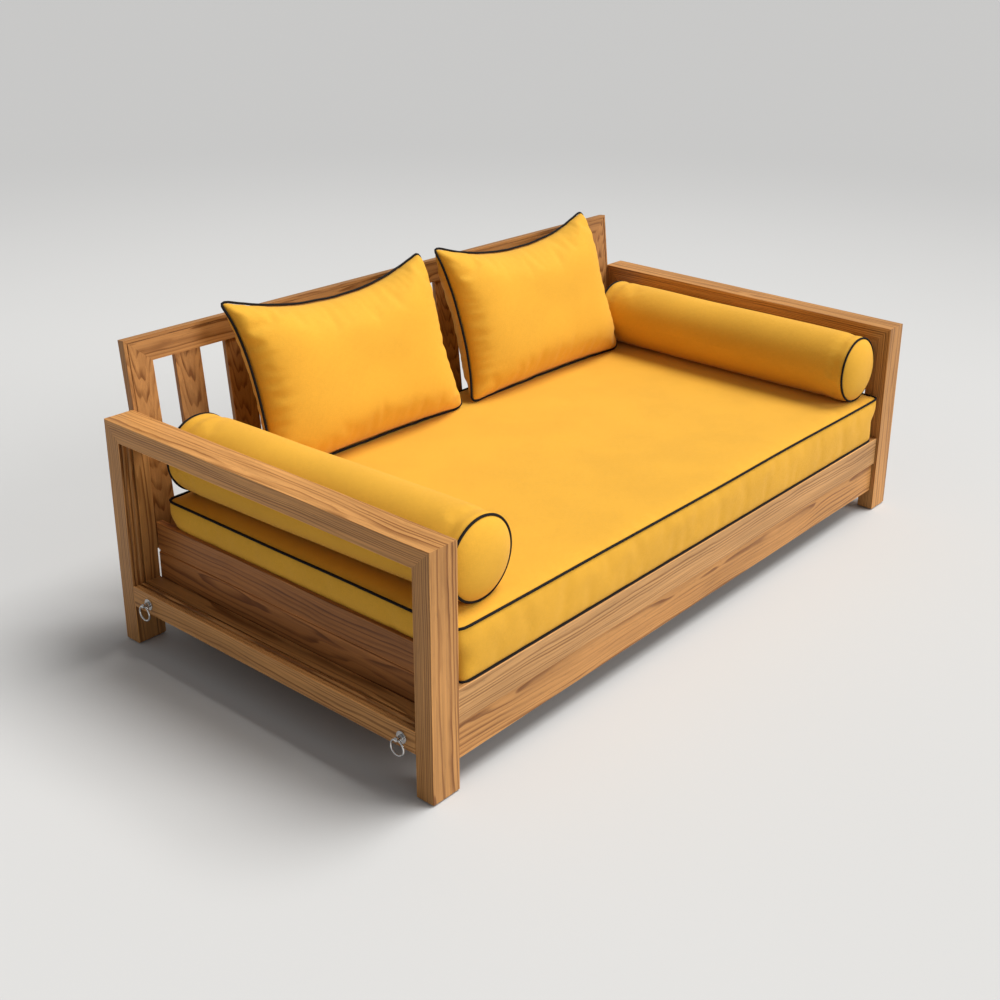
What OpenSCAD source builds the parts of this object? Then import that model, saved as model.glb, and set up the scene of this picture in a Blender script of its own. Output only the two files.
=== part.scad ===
// Daybed in solid timber: two framed arms, a raked slatted back and a slatted seat
// platform that hangs between the arms on four ring-pull locking pins. It carries a box
// mattress, two scatter pillows and two bolsters.
// Millimetres. X runs along the length, Y from front to back and Z up. The origin is on
// the floor, under the middle of the whole object.

/* [Overall] */
// Length over both arms
length = 2090; // [1900:5:2300]
// Depth of an arm, from the front leg's face to the back leg's face
arm_depth = 1102; // [1100:1:1200]
// Height of the armrests
arm_height = 610; // [580:1:660]

/* [Arm frames] */
// Width of every arm member, measured along the length
band_w = 82; // [80:1:100]
// Thickness of the legs and the armrest
band_t = 52; // [50:1:60]
// Height of the lower rail's underside
rail_z = 111; // [105:1:120]
// Height of the lower rail's section
rail_h = 57; // [55:1:65]
// Depth of the quirks beside the beads round the opening
moulding_step = 9; // [7:0.5:10]
// Radius of the two beads
bead_r = 6.5; // [5:0.5:7]
// Width of the plain lip outside the beads
lip_w = 5; // [4:1:8]
// How far the inner half of the armrest and front leg stands into the opening
inner_lip = 15; // [10:1:18]

/* [Back frame] */
// Lean of the back from upright, in degrees
rake = 6; // [3:0.5:8]
// Height of the back frame's top edge
back_top = 785; // [740:1:820]
// Height of the back frame's lower edge
back_low = 240; // [236:1:245]
// Where the back frame's lower edge stands, behind the front legs' faces
back_y = 1059; // [1056:1:1062]
// Thickness of the back frame
back_t = 24; // [22:1:28]
// Width of the back stiles
stile_w = 75; // [70:1:90]
// Width of the back's top rail
top_rail_w = 66; // [60:1:80]
// Width of the back's bottom rail
bottom_rail_w = 80; // [70:1:90]
// Number of upright slats in the back
back_slats = 11; // [9:1:11]
// Width of an upright slat
back_slat_w = 78; // [60:1:84]

/* [Seat platform] */
// Height of the seat platform's top
deck_z = 248; // [242:1:252]
// Height of the front apron's lower edge
apron_low = 68; // [60:1:75]
// Height of the joint between the two apron boards
apron_joint = 162; // [155:1:170]
// Height of the side boards' top edge
side_board_top = 318; // [300:1:325]
// Height of the side boards' lower edge
side_board_low = 157; // [156:1:160]
// Number of slats under the mattress
seat_slats = 13; // [9:1:15]
// Width of a seat slat
seat_slat_w = 70; // [50:1:80]

/* [Cushions] */
// Thickness of the mattress
mattress_h = 141; // [100:1:160]
// Depth of the mattress
mattress_d = 1004; // [950:1:1008]
// Diameter of a bolster
bolster_d = 210; // [160:1:210]
// Length of a bolster
bolster_l = 940; // [800:5:945]
// Width of a scatter pillow
pillow_w = 690; // [500:5:700]
// Height of a scatter pillow
pillow_h = 480; // [400:5:490]
// Thickness of a scatter pillow at its middle
pillow_t = 196; // [120:2:200]
// Lean of the pillows from upright, in degrees
pillow_lean = 18.5; // [17:0.5:20]

/* [Locking pins] */
// Height of the pull ring's outside
ring_d = 44; // [36:1:46]
// Thickness of the ring's wire
ring_wire = 5; // [4:0.2:5]
// Distance of a front locking pin from the front leg's outer face
front_pin_inset = 92; // [88:1:100]
// Distance of a back locking pin from the back leg's outer face
back_pin_inset = 114; // [106:1:120]

/* [Hidden] */
$fn = 48;

// Clearances
gap = 2;               // between the seat platform and the arms
rest_gap = 0.3;        // between a cushion and what it rests on
fit = 0.1;             // around dowels, bolts and tenons
pin_clearance = 0.06;  // around a locking pin's shaft

// Places along the length, measured from the middle
arm_x = length / 2;                // outer face of an arm
inner_x = arm_x - band_w;          // inner face of an arm
seat_x = inner_x - gap;            // ends of the seat platform
board_t = 18;                      // thickness of the side boards and end rails
well_x = seat_x - board_t;         // inner face of the side boards
back_x = inner_x - 1;              // outer edges of the back frame

// Heights
pad_h = 3;
rail_top = rail_z + rail_h;
pin_z = rail_z + rail_h / 2;
end_rail_low = 100;
end_rail_top = 155;
housing = 9;                       // depth of the side boards' housings for the beam
housing_top = 198;
slat_t = 17;
slat_z = deck_z - slat_t;

// Places in depth, measured from the front legs' faces
apron_y = 8;
apron_t = 22;
apron_step = 6;                    // how far the lower apron board stands back
well_y = apron_y + apron_t;        // back face of the front apron
platform_y = 1050;                 // back face of the seat platform
back_apron_y = platform_y - apron_t;
post_w = 45;
ledger_w = 24;
ledger_h = 30;
beam_w = 40;
beam_y = (well_y + back_apron_y) / 2;

// Back frame: its height along the lean, and the whole object's depth
back_h = (back_top - back_low) / cos(rake);
overall_depth = back_y + back_h * sin(rake) + back_t * cos(rake);
back_slat_t = 14;
tenon_l = 12;
tenon_t = 8;
tenon_in = 12;                     // how much narrower a tenon is on each side
back_slat_end = 67;                // gap between a stile and the slat beside it
back_slat_reach = back_x - stile_w - back_slat_end - back_slat_w / 2;
bolt_ws = [110, 190];              // places of the back bolts along the stile
bolt_r = 4;
bolt_head_r = 6.5;
bolt_head_h = 5;
bolt_head_room = 1.5;              // between a bolt's head and its counterbore
bolt_recess = 35;                  // depth of the counterbore for a bolt's head
bolt_reach = 40;                   // how far a bolt goes into the leg

// Dowels
dowel_r = 5;
dowel_l = 36;
dowel_us = [20, 62];               // places of the dowels across an arm member

// Locking pin, measured outwards from the rail's outer face
flange_r = 15;
flange_t = 3;
sleeve_r = 8;
sleeve_l = 76;
pin_r = 5;
collar_r = 7.5;
collar_t = 6;
collar_gap = 0.5;                  // between the collar and the flange
eye_out = 15;                      // how far the ring's pivot stands out
eye_r = 6.5;
eye_t = 8;
eye_hole_r = 3.1;
ring_r = (ring_d - ring_wire) / 2;

// Pads, slats and screws
pad_r = 17;
peg_r = 3;
peg_l = 13;
centre_leg_w = 50;
slat_inset = 73;                   // from the side board to the middle of the end slat
screw_r = 2.2;
screw_head_r = 4.4;
screw_head_h = 3;
screw_l = 30;
groove = 4;                        // half width and depth of the side boards' V groove

// Cushions
mattress_x = well_x - 3;
mattress_y = 12;
mattress_corner = 12;              // radius of its upright edges
mattress_z = deck_z + rest_gap;
cushion_z = mattress_z + mattress_h + rest_gap;
left_bolster_y = 56;
right_bolster_y = 42;
left_bolster_x = -inner_x + 137;   // front end's middle
left_bolster_shift = -30;          // how far along X its back end lies from its front end
right_bolster_x = inner_x - 106;
right_bolster_shift = 0;
left_pillow_x = -353;
right_pillow_x = 406;
pillow_foot_y = 905;               // where a pillow's lower seam stands
pillow_seam_lift = 4;              // height of that seam above the mattress

teak = [0.72, 0.52, 0.33];
dark_teak = [0.62, 0.43, 0.26];
steel = [0.78, 0.79, 0.80];
mustard = [0.95, 0.66, 0.16];
sides = ["left", "right"];
ends = ["front", "back"];

back_slat_names = [for (i = [1:back_slats]) str("back_slat_", i)];
pin_names = [for (s = sides) for (e = ends) str(s, "_", e, "_locking_pin")];
ring_names = [for (s = sides) for (e = ends) str(s, "_", e, "_pull_ring")];
post_names = [for (s = sides) for (e = ends) str(s, "_", e, "_corner_post")];

// ---------------------------------------------------------------- helpers

// Moves geometry measured from the front legs' faces into the object's frame
module placed() translate([0, -overall_depth / 2, 0]) children();

// Geometry drawn for the left side, or its mirror image for the right side
module on_side(side) {
    if (side == "left") placed() children();
    else mirror([1, 0, 0]) placed() children();
}

// Geometry drawn at an arm's front end, or its mirror image at the back end
module at_end(end) {
    if (end == "front") children();
    else translate([0, arm_depth, 0]) mirror([0, 1, 0]) children();
}

// Distance of a locking pin from the outer face of the leg beside it
function pin_inset(end) = end == "front" ? front_pin_inset : back_pin_inset;

// Sweeps a profile drawn in (Y, Z) along X
module along_x(w) rotate([90, 0, 90]) linear_extrude(w) children();

// Block between two corners
module block(low, high) translate(low) cube(high - low);

// Cylinder along X, from x to x + l
module rod_x(x, y, z, r, l) translate([x, y, z]) rotate([0, 90, 0]) cylinder(r = r, h = l);

// The back frame's own plane: X along the length, Y through its thickness, Z up the lean
module leaning() translate([0, back_y, back_low]) rotate([-rake, 0, 0]) children();

// ---------------------------------------------------------------- arm frames

// Outline of a bead, as [distance from the outer face, depth]
function bead(u, d) = [for (a = [0:22.5:180]) [u - bead_r * cos(a), d - bead_r * sin(a)]];

quirk = 3;                         // width of the grooves beside the beads
flat_u = lip_w + 3 * quirk + 4 * bead_r;
flat_step = 3;                     // depth of the flat behind the beads

// Section of the opening's edge: a plain lip, two beads between quirks, then the flat
function moulding(flat) = concat(
    [[-1, 0], [lip_w, 0], [lip_w, moulding_step]],
    bead(lip_w + quirk + bead_r, moulding_step),
    bead(lip_w + 2 * quirk + 3 * bead_r, moulding_step),
    [[flat_u, moulding_step], [flat_u, flat], [band_w + 1, flat]]);

// The opening between two parallel edges, as an outline across the arm
module opening_outline(low, high, low_flat, high_flat) {
    near = moulding(low_flat);
    far = moulding(high_flat);
    last = len(far) - 1;
    polygon(concat(
        [for (p = near) [p.x, low - p.y]],
        [for (i = [last:-1:0]) [far[i].x, high + far[i].y]]));
}

// The whole opening of an arm, with its mouldings mitred at the corners
module arm_opening() intersection() {
    translate([0, 0, rail_z])
        linear_extrude(arm_height - rail_z)
            opening_outline(band_t, arm_depth - band_t, -inner_lip, flat_step);
    translate([0, arm_depth, 0]) rotate([90, 0, 0])
        linear_extrude(arm_depth)
            opening_outline(rail_top, arm_height - band_t, flat_step, -inner_lip);
}

inner_line_insets = [14, 39];       // places of the shallow lines on an arm's inner face

// Shallow line that runs round the inner face of an arm
module inner_line(inset) {
    width = 3;
    deep = 2;
    difference() {
        block([band_w - deep, inset, rail_z + inset],
              [band_w + 1, arm_depth - inset, arm_height - inset]);
        block([band_w - 2 * deep, inset + width, rail_z + inset + width],
              [band_w + 2, arm_depth - inset - width, arm_height - inset - width]);
    }
}

// One dowel, centred on a joint
module dowel(r, l) translate([0, 0, -l / 2]) cylinder(r = r, h = l);

// All dowels of an arm: two in each mitre, and two at each end of the lower rail
module arm_dowel_set(r, l) for (end = ends) at_end(end) for (u = dowel_us) {
    translate([u, band_t / 2, arm_height - band_t / 2]) rotate([-45, 0, 0]) dowel(r, l);
    translate([u, band_t, pin_z]) rotate([-90, 0, 0]) dowel(r, l);
}

module arm_cuts() {
    arm_opening();
    for (inset = inner_line_insets) inner_line(inset);
    arm_dowel_set(dowel_r + fit, dowel_l + 2);
}

module on_arm(side) on_side(side) translate([-arm_x, 0, 0]) children();

module leg_blank() along_x(band_w)
    polygon([[0, pad_h], [band_t, pad_h], [band_t, arm_height - band_t], [0, arm_height]]);

// Inner half of a front leg, which stands further into the opening, from the lower rail up
module leg_lip() {
    high = arm_height - band_t;
    translate([flat_u, 0, 0]) along_x(band_w - flat_u) polygon([[band_t - 1, rail_top],
        [band_t + inner_lip, rail_top], [band_t + inner_lip, high - inner_lip],
        [band_t - 1, high + 1]]);
}

module pad_peg(r, l) translate([band_w / 2, band_t / 2, pad_h - 1]) cylinder(r = r, h = l);

module front_leg(side) color(teak) on_arm(side) difference() {
    union() {
        leg_blank();
        leg_lip();
    }
    arm_cuts();
    pad_peg(peg_r + fit, peg_l + 1);
}

module back_leg(side) color(teak) on_arm(side) difference() {
    at_end("back") leg_blank();
    arm_cuts();
    at_end("back") pad_peg(peg_r + fit, peg_l + 1);
    translate([arm_x, 0, 0]) leaning() back_bolt_holes();
}

module armrest(side) color(teak) on_arm(side) difference() {
    low = arm_height - band_t;
    along_x(band_w) polygon([[0, arm_height], [band_t + inner_lip, low - inner_lip],
        [arm_depth - band_t, low - inner_lip], [arm_depth - band_t, low],
        [arm_depth, arm_height]]);
    arm_cuts();
}

module lower_rail(side) color(teak) on_arm(side) difference() {
    block([0, band_t, rail_z], [band_w, arm_depth - band_t, rail_top]);
    arm_cuts();
    for (end = ends) at_end(end)
        rod_x(-1, pin_inset(end), pin_z, sleeve_r + fit, band_w + 2);
}

module arm_dowels(side) color(dark_teak) on_arm(side) arm_dowel_set(dowel_r, dowel_l);

// Discs under the four legs and the centre leg, each with a peg
module foot_pads() color([0.1, 0.1, 0.1]) {
    for (side = sides) on_arm(side) for (end = ends) at_end(end) {
        translate([band_w / 2, band_t / 2, 0]) cylinder(r = pad_r, h = pad_h);
        pad_peg(peg_r, peg_l);
    }
    placed() translate([0, beam_y, 0]) {
        cylinder(r = pad_r, h = pad_h);
        cylinder(r = peg_r, h = pad_h - 1 + peg_l);
    }
}

// ---------------------------------------------------------------- back frame

// Fine line near the frame's outer edges, on its front face
module back_line() {
    inset = 8;
    width = 3;
    deep = 2;
    difference() {
        block([-back_x + inset, -1, -1], [back_x - inset, deep, back_h - inset]);
        block([-back_x + inset + width, -2, -2],
              [back_x - inset - width, deep + 1, back_h - inset - width]);
    }
}

// Holes for the left stile's bolts, through the stile and into the leg
module back_bolt_holes() for (w = bolt_ws) {
    rod_x(-back_x - bolt_reach - 2, back_t / 2, w, bolt_r + fit, bolt_reach + stile_w + 4);
    rod_x(-back_x + stile_w - bolt_recess, back_t / 2, w, bolt_head_r + bolt_head_room,
              bolt_recess + 1);
}

module back_stile(side) color(teak) on_side(side) leaning() difference() {
    translate([0, back_t, 0]) rotate([90, 0, 0]) linear_extrude(back_t)
        polygon([[-back_x, 0], [-back_x + stile_w, 0],
                 [-back_x + stile_w, back_h - top_rail_w], [-back_x, back_h]]);
    back_line();
    back_bolt_holes();
}

// Upright slat i, counted from the left; extra widens its tenons into mortises
function back_slat_x(i) = back_slat_reach * (2 * (i - 1) / (back_slats - 1) - 1);

module back_tenons(i, extra) {
    half = back_slat_w / 2 - tenon_in + extra;
    mid = back_t / 2;
    block([back_slat_x(i) - half, mid - tenon_t / 2 - extra, bottom_rail_w - tenon_l - 2 * extra],
          [back_slat_x(i) + half, mid + tenon_t / 2 + extra,
           back_h - top_rail_w + tenon_l + 2 * extra]);
}

module back_top_rail() color(teak) placed() leaning() difference() {
    translate([0, back_t, 0]) rotate([90, 0, 0]) linear_extrude(back_t)
        polygon([[-back_x, back_h], [-back_x + stile_w, back_h - top_rail_w],
                 [back_x - stile_w, back_h - top_rail_w], [back_x, back_h]]);
    back_line();
    for (i = [1:back_slats]) back_tenons(i, fit);
}

module back_bottom_rail() color(teak) placed() leaning() difference() {
    block([-back_x + stile_w, 0, 0], [back_x - stile_w, back_t, bottom_rail_w]);
    for (i = [1:back_slats]) back_tenons(i, fit);
}

module back_slat(i) color(teak) placed() leaning() {
    half = back_slat_w / 2;
    mid = back_t / 2;
    back_tenons(i, 0);
    block([back_slat_x(i) - half, mid - back_slat_t / 2, bottom_rail_w],
          [back_slat_x(i) + half, mid + back_slat_t / 2, back_h - top_rail_w]);
}

// Bolts that hold the back frame's stiles to the back legs
module back_bolts() color(steel) for (side = sides) on_side(side) leaning()
    for (w = bolt_ws) {
        head_x = -back_x + stile_w - bolt_recess;
        rod_x(-back_x - bolt_reach, back_t / 2, w, bolt_r, head_x + back_x + bolt_reach);
        rod_x(head_x, back_t / 2, w, bolt_head_r, bolt_head_h);
    }

// ---------------------------------------------------------------- seat platform

module front_apron_upper() color(teak) placed()
    block([-seat_x, apron_y, apron_joint], [seat_x, well_y, deck_z]);

module front_apron_lower() color(dark_teak) placed()
    block([-seat_x, apron_y + apron_step, apron_low], [seat_x, well_y, apron_joint]);

module back_apron() color(teak) placed()
    block([-well_x, back_apron_y, end_rail_low], [well_x, platform_y, deck_z]);

// Side board with a V groove along its outer face
module side_board(side) color(dark_teak) on_side(side) difference() {
    block([-seat_x, well_y, side_board_low], [-well_x, platform_y, side_board_top]);
    translate([0, well_y - 1, 0]) translate([-seat_x, 0, (side_board_low + side_board_top) / 2])
        rotate([-90, 0, 0]) linear_extrude(platform_y - well_y + 2)
            polygon([[-1, groove], [-1, -groove], [groove, 0]]);
    block([-well_x - housing - fit, beam_y - beam_w / 2 - fit, side_board_low - 1],
          [-well_x + 1, beam_y + beam_w / 2 + fit, housing_top + fit]);
}

// Rail below the side board, bored for the locking pins
module end_rail(side) color(teak) on_side(side) difference() {
    block([-seat_x, well_y, end_rail_low], [-well_x, platform_y, end_rail_top]);
    for (end = ends) at_end(end)
        rod_x(-seat_x - 1, pin_inset(end), pin_z, pin_r + pin_clearance, board_t + 2);
}

module corner_post(side, end) color(dark_teak) on_side(side) {
    y = end == "front" ? well_y : back_apron_y - post_w;
    block([-well_x, y, apron_low + 4], [-well_x + post_w, y + post_w, slat_z]);
}

function slat_x(i) = (well_x - slat_inset) * (2 * i / (seat_slats - 1) - 1);
screw_ys = [well_y + ledger_w / 2, back_apron_y - ledger_w / 2];

// Countersunk screw through a slat into a ledger; grow turns it into its own hole
module slat_screw(grow) {
    translate([0, 0, deck_z - screw_l - grow]) cylinder(r = screw_r + grow, h = screw_l);
    translate([0, 0, deck_z - screw_head_h])
        cylinder(r1 = screw_r + grow, r2 = screw_head_r + grow, h = screw_head_h);
}

module all_slat_screws(grow) for (i = [0:seat_slats - 1]) for (y = screw_ys)
    translate([slat_x(i), y, 0]) slat_screw(grow);

module ledger(y) color(dark_teak) placed() difference() {
    block([-well_x + post_w, y, slat_z - ledger_h], [well_x - post_w, y + ledger_w, slat_z]);
    all_slat_screws(fit);
}

module seat_slat_row() color(teak) placed() difference() {
    for (i = [0:seat_slats - 1])
        block([slat_x(i) - seat_slat_w / 2, well_y + 2, slat_z],
              [slat_x(i) + seat_slat_w / 2, back_apron_y - 2, deck_z]);
    all_slat_screws(fit);
}

module slat_screws() color(steel) placed() all_slat_screws(0);

// Beam under the middle of the slats; its ends stand on the end rails, housed in the side boards
module centre_beam() color(dark_teak) placed() {
    block([-well_x, beam_y - beam_w / 2, end_rail_top], [well_x, beam_y + beam_w / 2, slat_z]);
    block([-well_x - housing, beam_y - beam_w / 2, end_rail_top],
          [well_x + housing, beam_y + beam_w / 2, housing_top]);
}

module centre_leg() color(dark_teak) placed() difference() {
    half = centre_leg_w / 2;
    block([-half, beam_y - half, pad_h], [half, beam_y + half, end_rail_top]);
    translate([0, beam_y, pad_h - 1]) cylinder(r = peg_r + fit, h = peg_l + 1);
}

// ---------------------------------------------------------------- locking pins

module at_pin(side, end) on_arm(side) at_end(end)
    translate([0, pin_inset(end), pin_z]) children();

// Flanged sleeves let into the lower rails
module pin_sleeves() color(steel) for (side = sides) for (end = ends) at_pin(side, end)
    difference() {
        union() {
            rod_x(-flange_t, 0, 0, flange_r, flange_t);
            rod_x(-1, 0, 0, sleeve_r, sleeve_l + 1);
        }
        rod_x(-flange_t - 1, 0, 0, pin_r + pin_clearance, sleeve_l + flange_t + 2);
    }

// Pin with a collar that stops on the flange, and a drilled eye for the ring
module locking_pin(side, end) color(steel) at_pin(side, end) difference() {
    tip = 2;
    reach = band_w + gap + board_t - 1;
    union() {
        rod_x(-flange_t - 1, 0, 0, pin_r, reach - tip + flange_t + 1);
        translate([reach - tip, 0, 0]) rotate([0, 90, 0])
            cylinder(r1 = pin_r, r2 = pin_r - 1.5, h = tip);
        rod_x(-flange_t - collar_gap - collar_t, 0, 0, collar_r, collar_t);
        translate([-eye_out, eye_t / 2, 0]) rotate([90, 0, 0]) cylinder(r = eye_r, h = eye_t);
    }
    translate([-eye_out, eye_t, 0]) rotate([90, 0, 0]) cylinder(r = eye_hole_r, h = 2 * eye_t);
}

module pull_ring(side, end) color(steel) at_pin(side, end)
    translate([-eye_out, 0, -ring_r]) rotate([0, 90, 0])
        rotate_extrude() translate([ring_r, 0]) circle(d = ring_wire, $fn = 24);

// ---------------------------------------------------------------- cushions

module rounded_plate(w, d, r) {
    square([w - 2 * r, d], center = true);
    square([w, d - 2 * r], center = true);
    for (x = [-1, 1]) for (y = [-1, 1])
        translate([x * (w / 2 - r), y * (d / 2 - r)]) circle(r = r);
}

module mattress() color(mustard) placed()
    translate([0, mattress_y + mattress_d / 2, mattress_z])
        linear_extrude(mattress_h) rounded_plate(2 * mattress_x, mattress_d, mattress_corner);

// Bolster with rounded rims; shift is how far along X its back end lies from its front end
module bolster(front_x, front_y, shift) color(mustard) placed() {
    rim = 8;
    r = bolster_d / 2;
    translate([front_x, front_y, cushion_z + r])
        rotate([-90, 0, -asin(shift / bolster_l)])
            rotate_extrude() {
                square([r - rim, bolster_l]);
                translate([0, rim]) square([r, bolster_l - 2 * rim]);
                for (z = [rim, bolster_l - rim]) translate([r - rim, z]) circle(r = rim);
            }
}

// Pillow as a crowned pad that stands on its lower seam and leans back; each layer is
// given by how far it stands in from the seam, and its thickness
module pillow(x) color(mustard) placed() {
    layers = [[0, 10], [45, 0.52 * pillow_t], [110, 0.82 * pillow_t], [170, pillow_t]];
    translate([x, pillow_foot_y, cushion_z + pillow_seam_lift]) rotate([-pillow_lean, 0, 0])
        translate([0, 0, pillow_h / 2]) hull() for (s = layers)
            cube([pillow_w - 2 * s[0], s[1], pillow_h - 2 * s[0]], center = true);
}

// ---------------------------------------------------------------- nodes

for (s = sides) {
    front_leg(s);
    back_leg(s);
    armrest(s);
    lower_rail(s);
    arm_dowels(s);
    back_stile(s);
    side_board(s);
    end_rail(s);
    for (e = ends) {
        corner_post(s, e);
        locking_pin(s, e);
        pull_ring(s, e);
    }
}
foot_pads();
back_top_rail();
back_bottom_rail();
for (i = [1:back_slats])
    back_slat(i);
back_bolts();
front_apron_upper();
front_apron_lower();
back_apron();
ledger(well_y);  // front_ledger
ledger(back_apron_y - ledger_w);  // back_ledger
centre_beam();
centre_leg();
seat_slat_row();  // seat_slats
slat_screws();
pin_sleeves();
mattress();
bolster(left_bolster_x, left_bolster_y, left_bolster_shift);  // left_bolster
bolster(right_bolster_x, right_bolster_y, right_bolster_shift);  // right_bolster
pillow(left_pillow_x);  // left_pillow
pillow(right_pillow_x);  // right_pillow
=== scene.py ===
"""A timber daybed with mustard cushions, finished and lit for a studio picture."""

import math
import random

import bmesh
import bpy
from mathutils import Matrix, Vector, noise


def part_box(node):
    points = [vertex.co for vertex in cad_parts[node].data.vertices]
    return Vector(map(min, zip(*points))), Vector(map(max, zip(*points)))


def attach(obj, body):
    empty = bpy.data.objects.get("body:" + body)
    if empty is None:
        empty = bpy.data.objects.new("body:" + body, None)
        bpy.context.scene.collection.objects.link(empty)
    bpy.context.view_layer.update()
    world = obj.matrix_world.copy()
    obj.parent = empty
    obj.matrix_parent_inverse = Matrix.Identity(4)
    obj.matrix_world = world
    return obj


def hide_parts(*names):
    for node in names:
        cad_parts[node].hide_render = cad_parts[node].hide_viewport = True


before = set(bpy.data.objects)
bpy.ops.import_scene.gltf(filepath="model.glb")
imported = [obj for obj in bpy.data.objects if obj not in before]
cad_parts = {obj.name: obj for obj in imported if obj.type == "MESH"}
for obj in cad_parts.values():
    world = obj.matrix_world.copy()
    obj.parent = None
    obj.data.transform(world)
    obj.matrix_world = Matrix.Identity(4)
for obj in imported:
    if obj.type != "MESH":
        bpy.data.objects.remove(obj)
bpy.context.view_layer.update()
SCENE = bpy.context.scene
MM = 0.001
MERGE = 0.01 * MM     # points closer than this are one

# ---------------------------------------------------------------- shader building


def new_group(name, inputs, outputs):
    """An empty shader group with named sockets, and its own input and output nodes."""
    tree = bpy.data.node_groups.new(name, "ShaderNodeTree")
    for kind, label, value in inputs:
        socket = tree.interface.new_socket(label, in_out="INPUT", socket_type="NodeSocket" + kind)
        if value is not None:
            socket.default_value = value
    for kind, label in outputs:
        tree.interface.new_socket(label, in_out="OUTPUT", socket_type="NodeSocket" + kind)
    return tree, tree.nodes.new("NodeGroupInput"), tree.nodes.new("NodeGroupOutput")


class Bench:
    """Places nodes in one tree and joins them up."""

    def __init__(self, tree):
        self.tree = tree

    def node(self, kind, **settings):
        """Adds a shader node and sets its options."""
        made = self.tree.nodes.new("ShaderNode" + kind)
        for key, value in settings.items():
            setattr(made, key, value)
        return made

    def join(self, source, target):
        self.tree.links.new(source, target)

    def feed(self, socket, value):
        """Links a socket, or sets a plain value."""
        if isinstance(value, bpy.types.NodeSocket):
            self.join(value, socket)
        else:
            socket.default_value = value

    def math(self, operation, a, b=None, clamp=False):
        """One sum on one or two numbers."""
        made = self.node("Math", operation=operation, use_clamp=clamp)
        for socket, value in zip(made.inputs, (a, b)):
            if value is not None:
                self.feed(socket, value)
        return made.outputs[0]

    def vector(self, operation, a, b):
        """One sum on two vectors; a length comes out as a number."""
        made = self.node("VectorMath", operation=operation)
        self.feed(made.inputs[0], a)
        self.feed(made.inputs[1], b)
        return made.outputs[1] if operation == "LENGTH" else made.outputs[0]

    def noise(self, vector, scale, detail=2.0, roughness=0.5):
        """Soft noise; a stretched vector gives streaks."""
        made = self.node("TexNoise")
        self.feed(made.inputs["Vector"], vector)
        self.feed(made.inputs["Scale"], scale)
        made.inputs["Detail"].default_value = detail
        made.inputs["Roughness"].default_value = roughness
        return made

    def remap(self, value, low, high, to_low=0.0, to_high=1.0):
        """Eases a value from one span of numbers to another."""
        made = self.node("MapRange", clamp=True, interpolation_type="SMOOTHSTEP")
        self.feed(made.inputs["Value"], value)
        for label, number in (("From Min", low), ("From Max", high), ("To Min", to_low), ("To Max", to_high)):
            self.feed(made.inputs[label], number)
        return made.outputs["Result"]

    def centred_noise(self, vector, detail, roughness):
        """Noise in three channels, each about zero."""
        made = self.noise(vector, 1.0, detail, roughness)
        return self.vector("SUBTRACT", made.outputs["Color"], (0.5, 0.5, 0.5))

    def scaled(self, vector, factor):
        """A vector or colour times one number."""
        made = self.node("VectorMath", operation="SCALE")
        self.join(vector, made.inputs[0])
        self.join(factor, made.inputs["Scale"])
        return made.outputs[0]

    def blend(self, share, a, b):
        """Mixes two colours."""
        made = self.node("Mix", data_type="RGBA")
        self.feed(made.inputs[0], share)
        self.feed(made.inputs[6], a)
        self.feed(made.inputs[7], b)
        return made.outputs[2]


def new_material(name):
    """A material with its Principled shader, and the bench to work on it."""
    made = bpy.data.materials.new(name)
    made.use_nodes = True
    bench = Bench(made.node_tree)
    return made, bench, made.node_tree.nodes["Principled BSDF"]


def bump_into(bench, shader, height, distance, strength):
    """Raises the surface by a height map; distance is in metres."""
    bump = bench.node("Bump")
    bump.inputs["Strength"].default_value = strength
    bump.inputs["Distance"].default_value = distance
    bench.join(height, bump.inputs["Height"])
    bench.join(bump.outputs["Normal"], shader.inputs["Normal"])


# ---------------------------------------------------------------- shared effects


RING_RIPPLE = 0.009       # how far the rings waver, in metres
RING_UNEVENNESS = 2.4     # how unlike each other the rings' widths are
LATE_WOOD_SHARE = 0.90    # darkness of the rings' late wood
STREAK_SHARE = 0.26       # darkness of the long streaks
PORE_DEPTH = 0.30         # how much a pore darkens the wood
EDGE_WEAR = 0.30          # how much paler a rubbed edge is


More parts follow.
